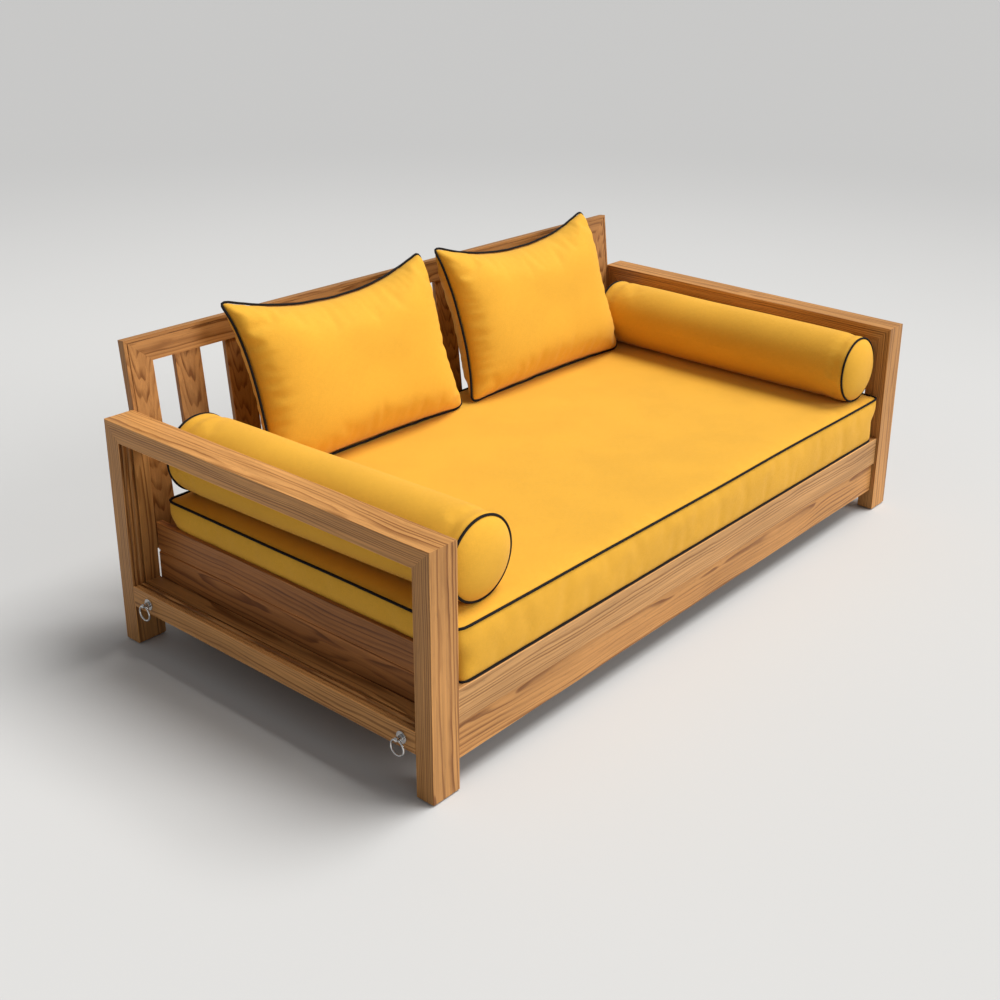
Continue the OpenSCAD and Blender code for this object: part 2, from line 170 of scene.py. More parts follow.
def teak_grain_group():
    """Growth rings round a pith that runs along Z, with fibres, pores and slow drifts of colour."""
    tree, into, out = new_group(
        "teak_grain",
        [("Vector", "Vector", None), ("Color", "Early Wood", (0.6, 0.3, 0.12, 1)),
         ("Color", "Late Wood", (0.3, 0.11, 0.04, 1)), ("Float", "Ring Width", 0.008),
         ("Float", "Figure", 0.03), ("Float", "Edge", 0.0)],
        [("Color", "Color"), ("Float", "Roughness"), ("Float", "Height")])
    b = Bench(tree)
    place = into.outputs["Vector"]

    # the trunk wanders as it grows, which draws the arches on a flat-sawn face
    drift = b.centred_noise(b.vector("MULTIPLY", place, (2.2, 2.2, 1.1)), 2.0, 0.45)
    figure = b.scaled(drift, into.outputs["Figure"])
    wavy = b.centred_noise(b.vector("MULTIPLY", place, (14.0, 14.0, 5.0)), 2.0, 0.5)
    ripple = b.vector("MULTIPLY", wavy, (RING_RIPPLE, RING_RIPPLE, 0.0))
    moved = b.vector("ADD", b.vector("ADD", place, figure), ripple)
    flat = b.vector("MULTIPLY", moved, (1.0, 1.0, 0.0))
    radius = b.vector("LENGTH", flat, (0, 0, 0))

    # rings of uneven width: the late wood darkens slowly and ends sharply
    rings = b.math("DIVIDE", radius, into.outputs["Ring Width"])
    uneven = b.noise(b.vector("MULTIPLY", flat, (42.0, 42.0, 0.0)), 1.0, 1.0)
    rings = b.math("ADD", rings, b.math("MULTIPLY", uneven.outputs["Fac"], RING_UNEVENNESS))
    phase = b.math("FRACT", rings)
    late = b.math("MULTIPLY", b.remap(phase, 0.38, 0.88), b.remap(phase, 1.0, 0.90))
    ring_no = b.noise(b.vector("MULTIPLY", flat, (55.0, 55.0, 0.0)), 1.0, 1.0)
    late = b.math("MULTIPLY", late, b.remap(ring_no.outputs["Fac"], 0.32, 0.66, 0.22, 1.0))

    # along the board: fibres, broader streaks, open pores and slow clouds of colour
    fibre = b.noise(b.vector("MULTIPLY", place, (420.0, 420.0, 7.0)), 1.0, 3.0, 0.6)
    streak = b.noise(b.vector("MULTIPLY", place, (75.0, 75.0, 2.6)), 1.0, 2.0, 0.55)
    pores = b.noise(b.vector("MULTIPLY", place, (900.0, 900.0, 32.0)), 1.0, 1.0)
    pore = b.remap(pores.outputs["Fac"], 0.66, 0.74)
    cloud = b.noise(b.vector("MULTIPLY", place, (6.0, 6.0, 1.5)), 1.0, 2.0)

    share = b.math("MULTIPLY", late, LATE_WOOD_SHARE)
    share = b.math("ADD", share, b.remap(streak.outputs["Fac"], 0.32, 0.72, 0.0, STREAK_SHARE), clamp=True)
    wood = b.blend(share, into.outputs["Early Wood"], into.outputs["Late Wood"])
    shade = b.math("MULTIPLY", b.remap(fibre.outputs["Fac"], 0.25, 0.75, 0.86, 1.12),
                   b.remap(cloud.outputs["Fac"], 0.25, 0.75, 0.86, 1.12))
    shade = b.math("MULTIPLY", shade, b.math("SUBTRACT", 1.0, b.math("MULTIPLY", pore, PORE_DEPTH)))
    worn = b.math("MULTIPLY", into.outputs["Edge"], EDGE_WEAR)
    shade = b.math("MULTIPLY", shade, b.math("ADD", 1.0, worn))
    b.join(b.scaled(wood, shade), out.inputs["Color"])
    rough = b.math("ADD", 0.46, b.math("MULTIPLY", late, -0.06))
    rough = b.math("ADD", rough, b.remap(fibre.outputs["Fac"], 0.3, 0.7, -0.03, 0.06))
    b.join(rough, out.inputs["Roughness"])
    height = b.math("ADD", b.math("MULTIPLY", fibre.outputs["Fac"], 0.35), b.math("MULTIPLY", late, 0.25))
    b.join(b.math("SUBTRACT", height, b.math("MULTIPLY", pore, 0.7)), out.inputs["Height"])
    return tree


def woven_cloth_group():
    """A plain weave on the cloth's own coordinates, in metres, with slubs and a little fading."""
    tree, into, out = new_group(
        "woven_cloth",
        [("Vector", "Vector", None), ("Color", "Thread", (0.9, 0.45, 0.05, 1)),
         ("Color", "Gap", (0.5, 0.2, 0.01, 1)), ("Float", "Pitch", 0.0011), ("Float", "Slub", 0.5)],
        [("Color", "Color"), ("Float", "Roughness"), ("Float", "Height")])
    b = Bench(tree)
    place = into.outputs["Vector"]
    turns = b.math("DIVIDE", math.pi, into.outputs["Pitch"])
    split = b.node("SeparateXYZ")
    b.join(b.scaled(place, turns), split.inputs[0])
    across = b.math("ABSOLUTE", b.math("SINE", split.outputs["X"]))
    along = b.math("ABSOLUTE", b.math("SINE", split.outputs["Y"]))
    over_x = b.math("GREATER_THAN", b.math("SINE", split.outputs["X"]), 0.0)
    over_y = b.math("GREATER_THAN", b.math("SINE", split.outputs["Y"]), 0.0)
    checker = b.math("ABSOLUTE", b.math("SUBTRACT", over_x, over_y))
    warp = b.math("MULTIPLY", across, checker)
    weft = b.math("MULTIPLY", along, b.math("SUBTRACT", 1.0, checker))
    thread = b.math("ADD", warp, weft)
    # slubs run both ways, and the dye drifts a little
    slub = b.noise(b.vector("MULTIPLY", place, (60.0, 700.0, 60.0)), 1.0, 2.0)
    slub2 = b.noise(b.vector("MULTIPLY", place, (700.0, 60.0, 60.0)), 1.0, 2.0)
    uneven = b.math("MULTIPLY", b.math("ADD", slub.outputs["Fac"], slub2.outputs["Fac"]), 0.5)
    fade = b.noise(b.vector("MULTIPLY", place, (5.0, 5.0, 5.0)), 1.0, 3.0)
    share = b.remap(thread, 0.05, 0.75, 0.78, 1.0)
    cloth = b.blend(share, into.outputs["Gap"], into.outputs["Thread"])
    shade = b.math("MULTIPLY", b.remap(uneven, 0.35, 0.65, 0.95, 1.04),
                   b.remap(fade.outputs["Fac"], 0.3, 0.7, 0.96, 1.03))
    b.join(b.scaled(cloth, shade), out.inputs["Color"])
    b.join(b.remap(thread, 0.1, 0.9, 0.92, 0.78), out.inputs["Roughness"])
    slubs = b.math("MULTIPLY", b.math("MULTIPLY", uneven, into.outputs["Slub"]), 1.6)
    rise = b.math("ADD", thread, slubs)
    b.join(rise, out.inputs["Height"])
    return tree


def hairline_group():
    """Fine wiping scratches and smudges on bare metal."""
    tree, into, out = new_group(
        "hairlines", [("Vector", "Vector", None), ("Float", "Polish", 0.12), ("Float", "Smudge", 0.15)],
        [("Float", "Roughness"), ("Float", "Height")])
    b = Bench(tree)
    lines = b.noise(b.vector("MULTIPLY", into.outputs["Vector"], (250.0, 2600.0, 2600.0)), 1.0, 2.0)
    smear = b.noise(b.vector("MULTIPLY", into.outputs["Vector"], (110.0, 110.0, 110.0)), 1.0, 3.0)
    patch = b.math("MULTIPLY", b.remap(smear.outputs["Fac"], 0.42, 0.7), into.outputs["Smudge"])
    rough = b.math("ADD", into.outputs["Polish"], patch)
    b.join(b.math("ADD", rough, b.math("MULTIPLY", lines.outputs["Fac"], 0.06)), out.inputs["Roughness"])
    b.join(lines.outputs["Fac"], out.inputs["Height"])
    return tree


TEAK_GRAIN = teak_grain_group()
WOVEN_CLOTH = woven_cloth_group()
HAIRLINES = hairline_group()

# ---------------------------------------------------------------- materials

# early and late wood of each kind of board
HONEY = ((0.545, 0.262, 0.080), (0.215, 0.078, 0.016))
# a darker copy of HONEY for the back frame: painted shade, darkening the stiles, rails and slats to how they
# look in shade
BACK_HONEY_PAINTED_SHADE = ((0.420, 0.195, 0.058), (0.170, 0.060, 0.012))
PALE_HONEY = ((0.525, 0.278, 0.103), (0.215, 0.090, 0.023))
# a darker copy of the teak for the inner frame, under the mattress and inside the arms: painted shade,
# darkening these parts as if they stood in shade
INNER_TEAK_PAINTED_SHADE = ((0.400, 0.155, 0.040), (0.155, 0.048, 0.010))

# how to turn a board so that its length lies along the grain's Z axis
GRAIN_TURN = {"X": (0, math.radians(-90), 0), "Y": (math.radians(90), 0, 0), "Z": (0, 0, 0)}


def board_centre_along_grain(node, run):
    """The middle of a board, in the turned coordinates of its grain."""
    low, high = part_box(node)
    c = (low + high) / 2
    return {"X": Vector((-c.z, c.y, c.x)), "Y": Vector((c.x, -c.z, c.y)), "Z": c}[run]


PITH_DRIFT = 40    # boards start anywhere within this many metres of trunk


def teak(node, run, tones, pith=0.07, heading=None, ring=0.006, figure=0.05):
    """Teak for one board: its own distance and direction from the pith, so that no two match."""
    dice = random.Random(node)
    material, b, shader = new_material("teak_" + node)
    centre = board_centre_along_grain(node, run)
    angle = dice.uniform(0, 2 * math.pi) if heading is None else math.radians(heading)
    place = b.node("Mapping", vector_type="POINT")
    place.inputs["Rotation"].default_value = GRAIN_TURN[run]
    place.inputs["Location"].default_value = (
        pith * math.cos(angle) - centre.x, pith * math.sin(angle) - centre.y,
        dice.uniform(-PITH_DRIFT, PITH_DRIFT))
    b.join(b.node("TexCoord").outputs["Object"], place.inputs["Vector"])
    grain = b.node("Group", node_tree=TEAK_GRAIN)
    b.join(place.outputs[0], grain.inputs["Vector"])
    tint = dice.uniform(0.93, 1.07)
    grain.inputs["Early Wood"].default_value = [v * tint for v in tones[0]] + [1]
    grain.inputs["Late Wood"].default_value = [v * tint for v in tones[1]] + [1]
    grain.inputs["Ring Width"].default_value = ring * dice.uniform(0.85, 1.2)
    grain.inputs["Figure"].default_value = figure
    b.join(b.node("Attribute", attribute_name="rounded_edge").outputs["Fac"], grain.inputs["Edge"])
    b.join(grain.outputs["Color"], shader.inputs["Base Color"])
    b.join(grain.outputs["Roughness"], shader.inputs["Roughness"])
    bump_into(b, shader, grain.outputs["Height"], 0.0005, 0.6)
    shader.inputs["Specular IOR Level"].default_value = 0.28
    return material


def cloth(name, thread, gap, pitch=0.0011, own_map=True, sheen=0.08):
    """Woven cloth, on the cover's own map or on the piece's coordinates."""
    material, b, shader = new_material(name)
    weave = b.node("Group", node_tree=WOVEN_CLOTH)
    if own_map:
        source = b.node("UVMap", uv_map="cloth").outputs[0]
    else:
        source = b.node("TexCoord").outputs["Object"]
    b.join(source, weave.inputs["Vector"])
    weave.inputs["Thread"].default_value = thread
    weave.inputs["Gap"].default_value = gap
    weave.inputs["Pitch"].default_value = pitch
    b.join(weave.outputs["Color"], shader.inputs["Base Color"])
    b.join(weave.outputs["Roughness"], shader.inputs["Roughness"])
    bump_into(b, shader, weave.outputs["Height"], 0.0003, 0.35)
    shader.inputs["Specular IOR Level"].default_value = 0.2
    shader.inputs["Sheen Weight"].default_value = sheen
    shader.inputs["Sheen Roughness"].default_value = 0.4
    return material


def metal(name, colour, polish, smudge):
    """Bare metal with fine wiping lines."""
    material, b, shader = new_material(name)
    lines = b.node("Group", node_tree=HAIRLINES)
    b.join(b.node("TexCoord").outputs["Object"], lines.inputs["Vector"])
    lines.inputs["Polish"].default_value = polish
    lines.inputs["Smudge"].default_value = smudge
    b.join(lines.outputs["Roughness"], shader.inputs["Roughness"])
    bump_into(b, shader, lines.outputs["Height"], 0.00004, 0.4)
    shader.inputs["Base Color"].default_value = colour
    shader.inputs["Metallic"].default_value = 1.0
    return material


def moulded_rubber(name):
    """Dull black rubber with a fine grit."""
    material, b, shader = new_material(name)
    grit = b.noise(b.node("TexCoord").outputs["Object"], 900.0, 2.0)
    b.join(b.blend(grit.outputs["Fac"], (0.012, 0.012, 0.012, 1), (0.03, 0.03, 0.03, 1)),
           shader.inputs["Base Color"])
    b.join(b.remap(grit.outputs["Fac"], 0.3, 0.7, 0.65, 0.85), shader.inputs["Roughness"])
    bump_into(b, shader, grit.outputs["Fac"], 0.0001, 0.5)
    return material


MUSTARD = cloth("mustard_cloth", (0.735, 0.383, 0.036, 1), (0.555, 0.263, 0.013, 1))
PIPING = cloth("black_piping", (0.007, 0.006, 0.006, 1), (0.003, 0.003, 0.003, 1), 0.0008,
               own_map=False, sheen=0.0)
POLISHED = metal("polished_steel", (0.64, 0.63, 0.62, 1), 0.08, 0.10)
ZINC = metal("zinc_plated_steel", (0.62, 0.62, 0.60, 1), 0.28, 0.2)
RUBBER = moulded_rubber("pad_rubber")

# ---------------------------------------------------------------- mesh helpers


def show(name, mesh):
    """Puts a piece into the scene, at the origin."""
    obj = bpy.data.objects.new(name, mesh)
    SCENE.collection.objects.link(obj)
    return obj


def finish_mesh(bm, name, material):
    """Turns a finished bmesh into a mesh of one material."""
    mesh = bpy.data.meshes.new(name)
    bm.to_mesh(mesh)
    bm.free()
    mesh.materials.append(material)
    return mesh


def clean_copy(node):
    """A bmesh of a frame node with its triangles joined and its flat faces whole."""
    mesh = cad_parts[node].data.copy()
    for layer in [a.name for a in mesh.attributes if a.name == "custom_normal"]:
        mesh.attributes.remove(mesh.attributes[layer])
    bm = bmesh.new()
    bm.from_mesh(mesh)
    bpy.data.meshes.remove(mesh)
    bmesh.ops.remove_doubles(bm, verts=bm.verts, dist=MERGE)
    bmesh.ops.dissolve_limit(bm, angle_limit=math.radians(0.5), verts=bm.verts, edges=bm.edges)
    return bm


def runs_along(edge, direction):
    """True for an edge parallel to a direction."""
    way = edge.verts[1].co - edge.verts[0].co
    return abs(way.normalized().dot(direction)) > 0.995


def deep_enough(edge, least):
    """True if both faces beside an edge are at least that wide."""
    return all(f.calc_area() / edge.calc_length() > least for f in edge.link_faces)


# ---------------------------------------------------------------- timber

LEAN = Vector((0, math.sin(math.radians(6)), math.cos(math.radians(6))))
ALONG = {"X": Vector((1, 0, 0)), "Y": Vector((0, 1, 0)), "Z": Vector((0, 0, 1))}
EASING = 1.8 * MM                    # radius of a timber's long edges
SHORTEST_EASED = 30 * MM
NARROWEST_EASED = 4.5 * MM           # the moulding's small steps stay crisp
CORNER = math.radians(40)            # anything sharper is an edge to ease
SMOOTH_BELOW = math.radians(35)


def board(node, run, tones, direction=None, foot=False, **grain):
    """Shows a timber with its long edges eased, in its own piece of teak."""
    direction = direction or ALONG[run]
    bm = clean_copy(node)
    bottom = min(v.co.z for v in bm.verts)
    eased = []
    for e in bm.edges:
        if not e.is_manifold or not e.is_convex or e.calc_face_angle() < CORNER:
            continue
        if e.calc_length() <= SHORTEST_EASED:
            continue
        at_foot = foot and all(v.co.z < bottom + 0.1 * MM for v in e.verts)
        if at_foot or (runs_along(e, direction) and deep_enough(e, NARROWEST_EASED)):
            eased.append(e)
    mark = bm.faces.layers.float.new("rounded_edge")
    if eased:
        made = bmesh.ops.bevel(bm, geom=eased, offset=EASING, offset_type="OFFSET", segments=3,
                               profile=0.5, affect="EDGES", clamp_overlap=True, material=-1)
        for f in made["faces"]:
            f[mark] = 1.0
    for f in bm.faces:
        f.smooth = True
    for e in bm.edges:
        e.smooth = len(e.link_faces) == 2 and e.calc_face_angle() < SMOOTH_BELOW
    name = node + "_timber"
    obj = show(name, finish_mesh(bm, name, teak(node, run, tones, **grain)))
    even = obj.modifiers.new("even_shading", "WEIGHTED_NORMAL")
    even.keep_sharp = True
    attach(obj, "frame")
    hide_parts(node)


# pith is how far a board's middle lies from the heart of the trunk, in metres,
# and heading is the side it lies on, in degrees
for side in ("left", "right"):
    board(f"{side}_front_leg", "Z", HONEY, foot=True, pith=0.080, heading=-70, figure=0.045)
    board(f"{side}_back_leg", "Z", HONEY, foot=True, pith=0.085, heading=90, figure=0.045)
    board(f"{side}_armrest", "Y", HONEY, pith=0.095, heading=-52, figure=0.04)
    board(f"{side}_lower_rail", "Y", HONEY, pith=0.085, heading=-125, figure=0.045)
    board(f"back_{side}_stile", "Z", BACK_HONEY_PAINTED_SHADE, direction=LEAN, pith=0.06, heading=-90)
    board(f"{side}_side_board", "Y", INNER_TEAK_PAINTED_SHADE, pith=0.075)
    board(f"{side}_end_rail", "Y", INNER_TEAK_PAINTED_SHADE, pith=0.09)
    for end in ("front", "back"):
        board(f"{side}_{end}_corner_post", "Z", INNER_TEAK_PAINTED_SHADE)
board("back_top_rail", "X", BACK_HONEY_PAINTED_SHADE, pith=0.065, heading=-90)
board("back_bottom_rail", "X", BACK_HONEY_PAINTED_SHADE, pith=0.065, heading=-90)
for number in range(1, 12):
    board(f"back_slat_{number}", "Z", BACK_HONEY_PAINTED_SHADE, direction=LEAN, pith=0.07, heading=-90)
board("front_apron_upper", "X", PALE_HONEY, pith=0.125, heading=-55, ring=0.0065, figure=0.03)
board("front_apron_lower", "X", HONEY, pith=0.095, heading=-55, ring=0.0075, figure=0.045)
board("back_apron", "X", HONEY, pith=0.08, heading=90)
for name in ("front_ledger", "back_ledger", "centre_beam"):
    board(name, "X", INNER_TEAK_PAINTED_SHADE)
board("centre_leg", "Z", INNER_TEAK_PAINTED_SHADE, foot=True)
board("seat_slats", "Y", INNER_TEAK_PAINTED_SHADE)

# ---------------------------------------------------------------- hardware


def finish_node(node, material):
    """Gives a frame node its finish."""
    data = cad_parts[node].data
    data.materials.clear()
    data.materials.append(material)


for side in ("left", "right"):
    for end in ("front", "back"):
        finish_node(f"{side}_{end}_locking_pin", POLISHED)
        finish_node(f"{side}_{end}_pull_ring", POLISHED)
    finish_node(f"{side}_arm_dowels", teak(f"{side}_arm_dowels", "Z", INNER_TEAK_PAINTED_SHADE))
finish_node("pin_sleeves", POLISHED)
finish_node("back_bolts", ZINC)
finish_node("slat_screws", ZINC)
finish_node("foot_pads", RUBBER)

# ---------------------------------------------------------------- sewing


def block_of_panels(low, high, cell):
    """A closed box whose six panels are cut into even squares of about that size."""
    size = high - low
    bm = bmesh.new()
    bmesh.ops.create_cube(bm, size=1.0)
    bmesh.ops.scale(bm, vec=size, verts=bm.verts)
    bmesh.ops.translate(bm, vec=(low + high) / 2, verts=bm.verts)
    for axis in range(3):
        cuts = max(1, round(size[axis] / cell) - 1)
        lines = [e for e in bm.edges if abs((e.verts[0].co - e.verts[1].co)[axis]) > size[axis] * 0.5]
        bmesh.ops.subdivide_edges(bm, edges=lines, cuts=cuts, use_grid_fill=True)
    return bm


def map_cloth(bm, place):
    """Lays the weave flat on each panel: place(loop, face) gives the cloth's own coordinates."""
    layer = bm.loops.layers.uv.new("cloth")
    for f in bm.faces:
        for loop in f.loops:
            loop[layer].uv = place(loop, f)


FILLING_STEPS = 20
COVER_SPRINGS = 18        # how hard the cloth resists stretching
COVER_SHEAR = 6
COVER_STIFFNESS = 0.6     # how hard it resists folding
COVER_MASS = 0.35


def fill_out(covers):
    """Lets the sewn covers swell on their filling, all at once; seams stay where they were sewn."""
    for cover in covers:
        obj = cover["obj"]
        seam = obj.vertex_groups.new(name="seam")
        seam.add(cover["seam"], 1.0, "REPLACE")
        made = obj.modifiers.new("filling", "CLOTH")
        made.point_cache.frame_start, made.point_cache.frame_end = 1, FILLING_STEPS
        s = made.settings
        s.quality = 5
        s.mass = COVER_MASS
        s.tension_stiffness = s.compression_stiffness = COVER_SPRINGS
        s.shear_stiffness = COVER_SHEAR
        s.bending_stiffness = cover.get("stiff", COVER_STIFFNESS)
        s.air_damping = 2.0
        s.vertex_group_mass = "seam"
        s.use_pressure = True
        s.uniform_pressure_force = cover["pressure"]
        s.shrink_min = -cover["ease"]
        s.effector_weights.gravity = 0
        made.collision_settings.use_collision = False
        made.collision_settings.use_self_collision = False
    for step in range(1, FILLING_STEPS + 1):
        SCENE.frame_set(step)
    graph = bpy.context.evaluated_depsgraph_get()
    filled = {c["obj"]: [v.co.copy() for v in c["obj"].evaluated_get(graph).data.vertices] for c in covers}
    for cover in covers:
        obj = cover["obj"]
        obj.modifiers.clear()
        obj.vertex_groups.clear()
        for v, to in zip(obj.data.vertices, filled[obj]):
            way = to - v.co
            far = way.length
            if far > 1e-9:
                v.co += way * (cover["cap"] * math.tanh(far / cover["cap"]) / far)
    SCENE.frame_set(1)


PRESSED = 0.05    # what is left of a bulge that is pressed flat


def settle(obj, floor):
    """Presses the underside flat on what it lies on."""
    for v in obj.data.vertices:
        if v.co.z < floor:
            v.co.z = floor + (v.co.z - floor) * PRESSED


def soften(obj):
    """Rounds a cover with one subdivision."""
    made = obj.modifiers.new("soft_surface", "SUBSURF")
    made.levels = made.render_levels = 1
    for p in obj.data.polygons:
        p.use_smooth = True


PIPING_RADIUS = 3.3 * MM


def cord_round(name, points, body):
    """Piping: a black covered cord along a closed seam."""
    curve = bpy.data.curves.new(name, "CURVE")
    curve.dimensions = "3D"
    curve.bevel_depth = PIPING_RADIUS
    curve.bevel_resolution = 2
    curve.use_fill_caps = False
    line = curve.splines.new("POLY")
    line.points.add(len(points) - 1)
    for p, co in zip(line.points, points):
        p.co = (*co, 1)
    line.use_cyclic_u = True
    draft = show(name + "_draft", curve)
    graph = bpy.context.evaluated_depsgraph_get()
    mesh = bpy.data.meshes.new_from_object(draft.evaluated_get(graph))
    bpy.data.objects.remove(draft)
    mesh.materials.clear()
    mesh.materials.append(PIPING)
    for p in mesh.polygons:
        p.use_smooth = True
    obj = show(name, mesh)
    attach(obj, body)


def smooth_loop(points):
    """Evens out a closed line of points."""
    n = len(points)
    return [(points[i - 1] + points[i] * 2 + points[(i + 1) % n]) / 4 for i in range(n)]


def ordered(indices, mesh):
    """Puts the vertices of a closed seam in order, by walking its edges."""
    keep = set(indices)
    near = {i: [] for i in keep}
    for e in mesh.edges:
        a, b = e.vertices
        if a in keep and b in keep:
            near[a].append(b)
            near[b].append(a)
    start = min(keep)
    path, last, here = [start], None, start
    while True:
        nexts = [i for i in near[here] if i != last and (i not in path[1:])]
        nexts = [i for i in nexts if i != start or len(path) > 2]
        if not nexts or nexts[0] == start:
            return path
        last, here = here, nexts[0]
        path.append(here)


# ---------------------------------------------------------------- mattress


def rounded_plan(co, low, high, radius):
    """Moves a point near an upright edge on to a rounded corner."""
    x0, x1, y0, y1 = low.x + radius, high.x - radius, low.y + radius, high.y - radius
    cx = min(max(co.x, x0), x1)
    cy = min(max(co.y, y0), y1)
    way = Vector((co.x - cx, co.y - cy))
    if abs(way.x) > 1e-9 and abs(way.y) > 1e-9:
        reach = max(abs(way.x), abs(way.y))
        way = way.normalized() * reach
        co.x, co.y = cx + way.x, cy + way.y


MATTRESS_CELL = 18 * MM
MATTRESS_CORNER = 16 * MM      # radius of its upright edges
MATTRESS_SPREAD = 13 * MM      # how far it spreads over each side board
MATTRESS_LEAN = 3 * MM         # how far its front leans out
SPREAD_FROM = 60 * MM          # the spread starts at this height and is full
SPREAD_OVER = 40 * MM          # this much higher
SEAM_WANDER = 2.2 * MM
FRONT_WANDER = 2.0 * MM
ON_PLANE = 0.01 * MM


def make_mattress():
    """A box mattress: six panels with a piped seam round the top and the bottom."""
    low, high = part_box("mattress")
    low, high = low + Vector((2, 2, 0.5)) * MM, high - Vector((2, 2, 3)) * MM
    bm = block_of_panels(low, high, MATTRESS_CELL)
    map_cloth(bm, lambda l, f: (
        (l.vert.co.x, l.vert.co.y) if abs(f.normal.z) > 0.7 else
        (l.vert.co.x, l.vert.co.z) if abs(f.normal.y) > 0.7 else (l.vert.co.y, l.vert.co.z)))
    rims = {"top": [], "bottom": []}
    held = []
    middle = (low + high) / 2
    bm.verts.index_update()
    for v in bm.verts:
        beside_x = min(v.co.x - low.x, high.x - v.co.x) < ON_PLANE
        beside_y = min(v.co.y - low.y, high.y - v.co.y) < ON_PLANE
        if (beside_x or beside_y) and abs(v.co.z - high.z) < ON_PLANE:
            rims["top"].append(v.index)
        if (beside_x or beside_y) and abs(v.co.z - low.z) < ON_PLANE:
            rims["bottom"].append(v.index)
        if abs(v.co.z - low.z) < ON_PLANE:
            held.append(v.index)
    for v in bm.verts:
        start = v.co.copy()
        rounded_plan(v.co, low, high, MATTRESS_CORNER)
        # above the side boards the filling spreads outwards a little
        rise = min(max((start.z - low.z - SPREAD_FROM) / SPREAD_OVER, 0.0), 1.0)
        v.co.x *= 1 + rise * MATTRESS_SPREAD / high.x
        v.co.y -= rise * MATTRESS_LEAN * (start.y < middle.y)
        # the edges of the top wander a little, as a filled cover's do
        if start.z > middle.z:
            v.co.z += noise.noise(Vector((start.x * 3.1, start.y * 3.1, start.z * 9))) * SEAM_WANDER
            v.co.y += noise.noise(Vector((start.x * 2.3, start.y * 2.7, 4.4))) * FRONT_WANDER
    obj = show("mattress_cover", finish_mesh(bm, "mattress_cover", MUSTARD))
    seam = sorted(set(rims["top"] + rims["bottom"] + held))
    return {"obj": obj, "seam": seam, "rims": rims, "pressure": 2.2, "ease": 0.012, "cap": 9 * MM,
            "stiff": 0.8, "node": "mattress", "fill": 0.95}


# ---------------------------------------------------------------- bolsters


BOLSTER_SIDES = 64
BOLSTER_BANDS = 65
BOLSTER_RIM = 0.945           # of the full radius, where the tube is gathered
BOLSTER_DOME = 25 * MM        # how far an end bulges out of its piping
END_ALLOWANCE = 14 * MM       # length that the two domes take up
CAP_RINGS = 6
CAP_RING_DIVISOR = 7.2        # the rim's radius over the width of one ring of the cap
PLEAT = 2.0 * MM
SLACK = 1.6 * MM


def make_bolster(node, shift):
    """A round bolster: a gathered tube between two domed, piped ends."""
    low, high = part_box(node)
    length = (high.y - low.y) - END_ALLOWANCE
    radius = (high.z - low.z) / 2
    rim = radius * BOLSTER_RIM
    bm = bmesh.new()
    bmesh.ops.create_cone(bm, cap_ends=True, cap_tris=False, segments=BOLSTER_SIDES,
                          radius1=rim, radius2=rim, depth=length)
    lines = [e for e in bm.edges if abs(e.verts[0].co.z - e.verts[1].co.z) > length / 2]
    bmesh.ops.subdivide_edges(bm, edges=lines, cuts=BOLSTER_BANDS, use_grid_fill=True)
    for cap in [f for f in bm.faces if len(f.verts) == BOLSTER_SIDES]:
        for _ in range(CAP_RINGS):
            bmesh.ops.inset_region(bm, faces=[cap], thickness=rim / CAP_RING_DIVISOR, depth=0.0,
                                   use_even_offset=True)
        bmesh.ops.poke(bm, faces=[cap])
    half = length / 2

    def place(loop, f):
        """Flat on the ends, and unrolled round the tube."""
        co, mid = loop.vert.co, f.calc_center_median()
        if abs(mid.z) > half - 1e-4:
            return co.x, co.y
        start = math.atan2(mid.y, mid.x)
        turn = math.atan2(co.y, co.x) - start
        turn = (turn + math.pi) % (2 * math.pi) - math.pi
        return (start + turn) * radius, co.z

    map_cloth(bm, place)
    bm.verts.index_update()
    rims = {"front": [], "back": []}
    for v in bm.verts:
        out = Vector((v.co.x, v.co.y)).length
        if abs(out - rim) < 1e-5 and abs(abs(v.co.z) - half) < 1e-5:
            rims["front" if v.co.z < 0 else "back"].append(v.index)
    for v in bm.verts:
        out = Vector((v.co.x, v.co.y)).length
        if abs(abs(v.co.z) - half) < 1e-5:
            # domed end
            dome = BOLSTER_DOME * (1 - (out / rim) ** 2.8)
            v.co.z += math.copysign(dome, v.co.z)
        else:
            # the tube swells from its gathered rim to its full girth
            away = half - abs(v.co.z)
            full = 1 - math.exp(-away / (20 * MM))
            turn = math.atan2(v.co.y, v.co.x)
            gathers = math.exp(-away / (26 * MM)) * (1 - math.exp(-away / (5 * MM)))
            pleat = 0.5 * math.sin(turn * 23 + 1.7 * math.sin(turn * 3)) + 0.5 * math.sin(turn * 37 + 2)
            slack = noise.noise(Vector((v.co.x * 7, v.co.y * 7, v.co.z * 5))) * SLACK
            girth = rim + (radius - 1.5 * MM - rim) * full + gathers * pleat * PLEAT + slack * full
            v.co.x *= girth / out
            v.co.y *= girth / out
    # lay it down along the bed: the cone's Z becomes the bed's Y
    bmesh.ops.rotate(bm, matrix=Matrix.Rotation(math.radians(-90), 3, "X"), verts=bm.verts)
    bmesh.ops.rotate(bm, matrix=Matrix.Rotation(-math.asin(shift / length), 3, "Z"), verts=bm.verts)
    centre = (low + high) / 2
    bmesh.ops.translate(bm, vec=centre, verts=bm.verts)
    bmesh.ops.recalc_face_normals(bm, faces=bm.faces)
    obj = show(node + "_cover", finish_mesh(bm, node + "_cover", MUSTARD))
    return {"obj": obj, "seam": rims["front"] + rims["back"], "rims": rims, "pressure": 2.5, "ease": 0.01,
            "cap": 4 * MM, "node": node, "fill": 0.9}


# ---------------------------------------------------------------- pillows

